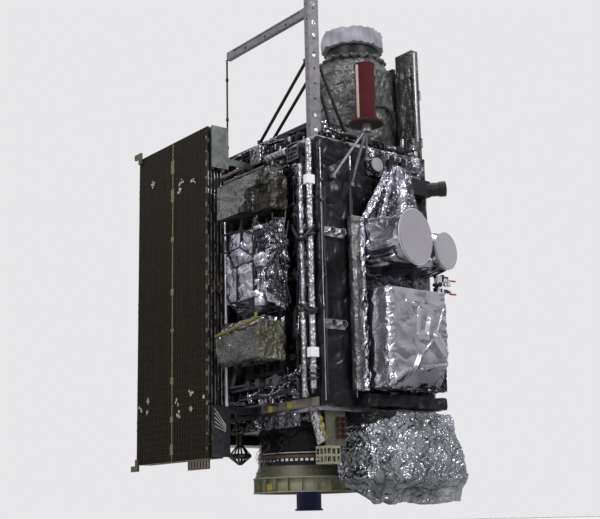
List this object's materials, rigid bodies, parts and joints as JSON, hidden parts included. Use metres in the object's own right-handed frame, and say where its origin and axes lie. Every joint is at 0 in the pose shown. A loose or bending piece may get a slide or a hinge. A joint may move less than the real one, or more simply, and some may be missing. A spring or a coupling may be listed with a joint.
{
  "type": "weather satellite, stowed",
  "caption": "Geostationary weather satellite folded for launch, with solar array, antenna wing, instruments and wrapped aft pod.",
  "frame": {"origin": "centre of the separation plane under the aft ring", "axes": "+Z from the aft ring up to the instrument deck, +X out of the face with the antenna wing, -Y out of the face with the folded solar array"},
  "size_m": [3.8392, 2.67, 6.19],
  "materials": {
    "ring_metal": "matte",
    "black_blanket": "satin",
    "silver_foil": "polished",
    "grey_blanket": "satin",
    "blue_cover": "matte",
    "grey_metal": "satin",
    "black_frame": "satin",
    "solar_cells": "gloss",
    "white_fabric": "matte",
    "red_cover": "matte",
    "dish_paint": "satin"
  },
  "bodies": {
    "bus": {"aft_deck": "silver_foil", "apogee_engine": "ring_metal", "array_bracket": "grey_metal", "basket_bracket": "grey_metal", "belly_closeout": "black_blanket", "bicone_antenna": "black_frame", "blanket_column": "black_blanket", "connector_bracket": "grey_metal", "corner_tubes": "silver_foil", "edge_box": "silver_foil", "edge_tank": "silver_foil", "engine_cover": "blue_cover", "face_a_ducts": "black_frame", "face_a_panel": "black_blanket", "face_b_panel": "black_blanket", "face_b_sensor": "dish_paint", "face_c_panel": "silver_foil", "face_d_panel": "black_blanket", "foil_instrument": "silver_foil", "foil_pouch": "silver_foil", "helix_antenna": "red_cover", "helix_tripod": "grey_metal", "hold_down_posts": "grey_metal", "imager": "grey_blanket", "instrument_rack": "grey_metal", "lower_housing": "black_blanket", "lower_instrument": "grey_blanket", "mast": "grey_metal", "mast_arm": "grey_metal", "mast_rod": "grey_metal", "mast_struts": "black_frame", "root_post": "silver_foil", "separation_ring": "ring_metal", "star_sensors": "black_frame", "telescope_baffle": "black_frame", "telescope_body": "grey_blanket", "telescope_bonnet": "white_fabric", "thrust_cylinder": "black_blanket", "thruster_pods": "silver_foil", "top_deck": "silver_foil", "top_truss": "black_frame", "tube_blocks": "white_fabric", "upper_instrument": "grey_blanket", "wing_brackets": "grey_metal", "wrapped_sack": "silver_foil"},
    "yoke": {"array_yoke": "grey_metal"},
    "wing": {"wing_frame": "black_frame", "wing_edge_beam": "silver_foil", "wing_box": "silver_foil", "large_dish_shroud": "black_blanket", "large_dish_cover": "dish_paint", "small_dish_shroud": "black_blanket", "small_dish_cover": "dish_paint", "wing_blanket": "silver_foil", "wing_probes": "white_fabric"},
    "panel_1": {"solar_panel_1": "solar_cells"},
    "panel_2": {"solar_panel_2": "solar_cells"},
    "panel_3": {"solar_panel_3": "solar_cells"},
    "panel_4": {"solar_panel_4": "solar_cells"},
    "panel_5": {"solar_panel_5": "solar_cells"}
  },
  "joints": [
    {"name": "array_root", "type": "hinge", "parent": "bus", "child": "yoke", "pos_m": [0.09, -1.255, 2.39], "axis": [0, 0, 1], "range_deg": [0, 90]},
    {"name": "panel_1_hinge", "type": "hinge", "parent": "yoke", "child": "panel_1", "pos_m": [-1.59, -1.285, 2.39], "axis": [0, 0, -1], "range_deg": [0, 180]},
    {"name": "panel_2_hinge", "type": "hinge", "parent": "panel_1", "child": "panel_2", "pos_m": [0.09, -1.33, 2.39], "axis": [0, 0, 1], "range_deg": [0, 180]},
    {"name": "panel_3_hinge", "type": "hinge", "parent": "panel_2", "child": "panel_3", "pos_m": [-1.59, -1.375, 2.39], "axis": [0, 0, -1], "range_deg": [0, 180]},
    {"name": "panel_4_hinge", "type": "hinge", "parent": "panel_3", "child": "panel_4", "pos_m": [0.09, -1.42, 2.39], "axis": [0, 0, 1], "range_deg": [0, 180]},
    {"name": "panel_5_hinge", "type": "hinge", "parent": "panel_4", "child": "panel_5", "pos_m": [-1.59, -1.465, 2.39], "axis": [0, 0, -1], "range_deg": [0, 180]},
    {"name": "wing_deploy", "type": "hinge", "parent": "bus", "child": "wing", "pos_m": [1.515, 0.385, 3.89], "axis": [0, -1, 0], "range_deg": [0, 90]}
  ],
  "couplings": [
    {"joint": "panel_1_hinge", "follows": "array_root", "ratio": 2},
    {"joint": "panel_2_hinge", "follows": "array_root", "ratio": 2},
    {"joint": "panel_3_hinge", "follows": "array_root", "ratio": 2},
    {"joint": "panel_4_hinge", "follows": "array_root", "ratio": 2},
    {"joint": "panel_5_hinge", "follows": "array_root", "ratio": 2}
  ]
}
